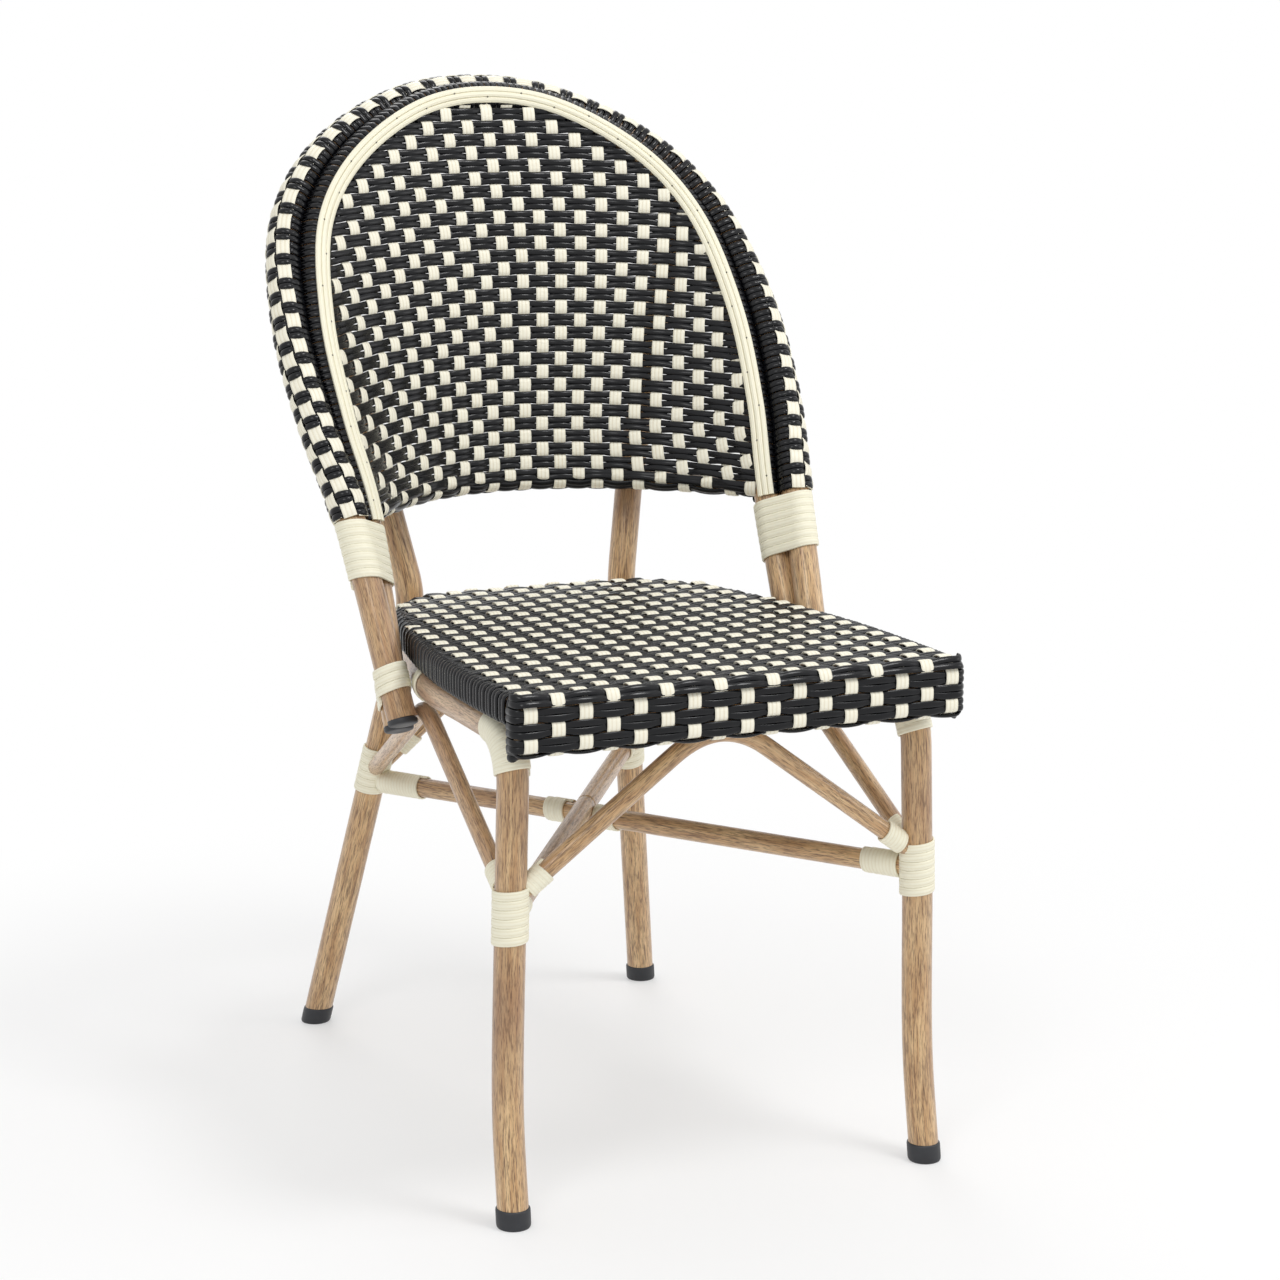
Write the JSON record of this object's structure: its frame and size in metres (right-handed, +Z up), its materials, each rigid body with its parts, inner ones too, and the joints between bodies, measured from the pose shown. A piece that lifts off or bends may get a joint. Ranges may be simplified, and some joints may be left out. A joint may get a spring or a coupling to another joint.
{
  "type": "bistro chair",
  "caption": "Armless bistro chair of bent brown tube with a woven seat, a woven hoop back with a padded-looking rim, arched braces and pale strand wraps at the joints.",
  "frame": {"origin": "floor plane, under the middle of the chair's bounding box", "axes": "+Z up, -Y the chair's front, +X the right side as seen from the front"},
  "size_m": [0.4966, 0.6305, 0.9135],
  "materials": {
    "tube_brown": "brown wood-grain coating, satin clear coat",
    "weave_black": "near-black synthetic strand, soft sheen",
    "weave_cream": "cream synthetic strand, satin",
    "strand_cream": "cream synthetic strand, satin",
    "end_plastic": "black moulded plastic"
  },
  "bodies": {
    "root": {"front_leg_left": "tube_brown", "rear_leg_left": "tube_brown", "front_leg_right": "tube_brown", "rear_leg_right": "tube_brown", "back_inner_hoop": "tube_brown", "back_outer_hoop": "tube_brown", "inner_hoop_plug_left": "end_plastic", "outer_hoop_plug_left": "end_plastic", "inner_hoop_plug_right": "end_plastic", "outer_hoop_plug_right": "end_plastic", "seat_rear_rail": "tube_brown", "seat_front_rail": "tube_brown", "stretcher_through": "tube_brown", "stretcher_half_front": "tube_brown", "stretcher_half_rear": "tube_brown", "front_arch": "tube_brown", "rear_arch": "tube_brown", "side_arch_left": "tube_brown", "side_arch_right": "tube_brown", "front_glide_left": "end_plastic", "rear_glide_left": "end_plastic", "front_glide_right": "end_plastic", "rear_glide_right": "end_plastic", "seat_frame": "tube_brown", "seat_apron_bar": "tube_brown", "seat_weave": "weave_black", "piping_outer": "strand_cream", "piping_middle": "strand_cream", "piping_inner": "strand_cream", "back_bottom_rail": "tube_brown", "back_panel": "weave_black", "rim_cover": "weave_black", "back_wrap_left": "strand_cream", "seat_side_wrap_left": "strand_cream", "back_wrap_right": "strand_cream", "seat_side_wrap_right": "strand_cream", "corner_wrap_left": "strand_cream", "seat_tie_left": "strand_cream", "corner_wrap_right": "strand_cream", "seat_tie_right": "strand_cream", "joint_wrap_front_left": "strand_cream", "joint_wrap_rear_left": "strand_cream", "joint_wrap_front_right": "strand_cream", "joint_wrap_rear_right": "strand_cream", "front_arch_wrap_left": "strand_cream", "side_arch_wrap_left": "strand_cream", "rear_arch_wrap_left": "strand_cream", "front_stretcher_wrap_left": "strand_cream", "rear_stretcher_wrap_left": "strand_cream", "front_arch_wrap_right": "strand_cream", "side_arch_wrap_right": "strand_cream", "rear_arch_wrap_right": "strand_cream", "front_stretcher_wrap_right": "strand_cream", "rear_stretcher_wrap_right": "strand_cream", "crossing_wrap": "strand_cream"}
  },
  "joints": []
}
